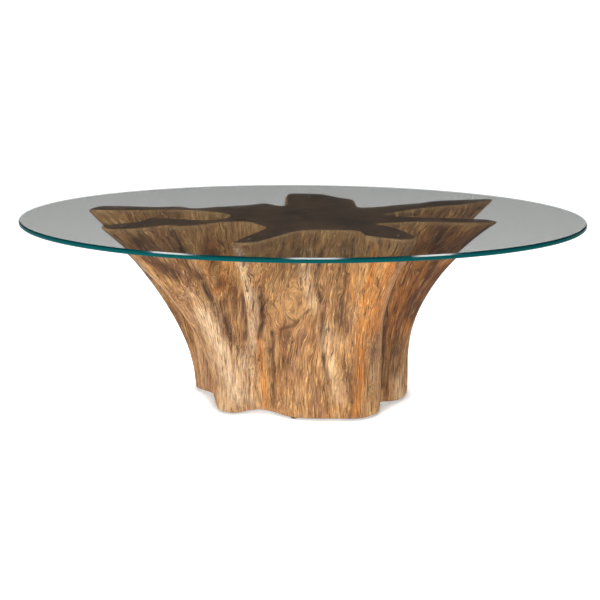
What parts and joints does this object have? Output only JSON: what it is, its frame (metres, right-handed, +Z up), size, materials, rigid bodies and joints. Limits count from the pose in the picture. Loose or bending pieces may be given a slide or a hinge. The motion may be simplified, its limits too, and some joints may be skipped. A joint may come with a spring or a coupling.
{
  "type": "dining table",
  "caption": "Dining table with an oval clear glass top resting on one flared, many-armed tree root that stands on screw glides.",
  "frame": {"origin": "on the floor, under the middle of the oval top", "axes": "+X along the oval's long axis to the right as seen from the front, +Y to the back, +Z up"},
  "size_m": [2.1339, 1.2189, 0.762],
  "materials": {
    "root_wood": "barkless root wood, sanded and satin lacquered, streaked grain",
    "float_glass": "clear float glass with a polished teal edge",
    "clear_bumper": "clear soft polyurethane",
    "black_nylon": "moulded, matte",
    "plated_steel": "bright zinc plate"
  },
  "bodies": {
    "root": {"root_base": "root_wood", "bumper_right_back": "clear_bumper", "bumper_back": "clear_bumper", "bumper_left_back": "clear_bumper", "bumper_left_front": "clear_bumper", "bumper_front_left": "clear_bumper", "bumper_front_right": "clear_bumper", "bumper_right_front": "clear_bumper", "insert_front": "plated_steel", "insert_left": "plated_steel", "insert_right": "plated_steel", "insert_back": "plated_steel"},
    "glass": {"glass_top": "float_glass"},
    "pad_front": {"pad_front": "black_nylon"},
    "stem_front": {"stem_front": "plated_steel"},
    "pad_left": {"pad_left": "black_nylon"},
    "stem_left": {"stem_left": "plated_steel"},
    "pad_right": {"pad_right": "black_nylon"},
    "stem_right": {"stem_right": "plated_steel"},
    "pad_back": {"pad_back": "black_nylon"},
    "stem_back": {"stem_back": "plated_steel"}
  },
  "joints": [
    {"name": "glass_lift", "type": "slide", "parent": "root", "child": "glass", "axis": [0, 0, 1], "range_m": [0, 0.15]},
    {"name": "glide_travel_front", "type": "slide", "parent": "root", "child": "pad_front", "axis": [0, 0, -1], "range_m": [0, 0.012]},
    {"name": "glide_turn_front", "type": "hinge", "parent": "pad_front", "child": "stem_front", "pos_m": [-0.01978, -0.131, 0.01], "axis": [0, 0, -1], "range_deg": [0, 3456]},
    {"name": "glide_travel_left", "type": "slide", "parent": "root", "child": "pad_left", "axis": [0, 0, -1], "range_m": [0, 0.012]},
    {"name": "glide_turn_left", "type": "hinge", "parent": "pad_left", "child": "stem_left", "pos_m": [-0.3655, 0.165, 0.01], "axis": [0, 0, -1], "range_deg": [0, 3456]},
    {"name": "glide_travel_right", "type": "slide", "parent": "root", "child": "pad_right", "axis": [0, 0, -1], "range_m": [0, 0.012]},
    {"name": "glide_turn_right", "type": "hinge", "parent": "pad_right", "child": "stem_right", "pos_m": [0.3526, 0.125, 0.01], "axis": [0, 0, -1], "range_deg": [0, 3456]},
    {"name": "glide_travel_back", "type": "slide", "parent": "root", "child": "pad_back", "axis": [0, 0, -1], "range_m": [0, 0.012]},
    {"name": "glide_turn_back", "type": "hinge", "parent": "pad_back", "child": "stem_back", "pos_m": [0.043, 0.33, 0.01], "axis": [0, 0, -1], "range_deg": [0, 3456]}
  ],
  "couplings": [
    {"joint": "glide_travel_front", "follows": "glide_turn_front", "m_per_rad": 0.00019894},
    {"joint": "glide_travel_left", "follows": "glide_turn_left", "m_per_rad": 0.00019894},
    {"joint": "glide_travel_right", "follows": "glide_turn_right", "m_per_rad": 0.00019894},
    {"joint": "glide_travel_back", "follows": "glide_turn_back", "m_per_rad": 0.00019894}
  ]
}
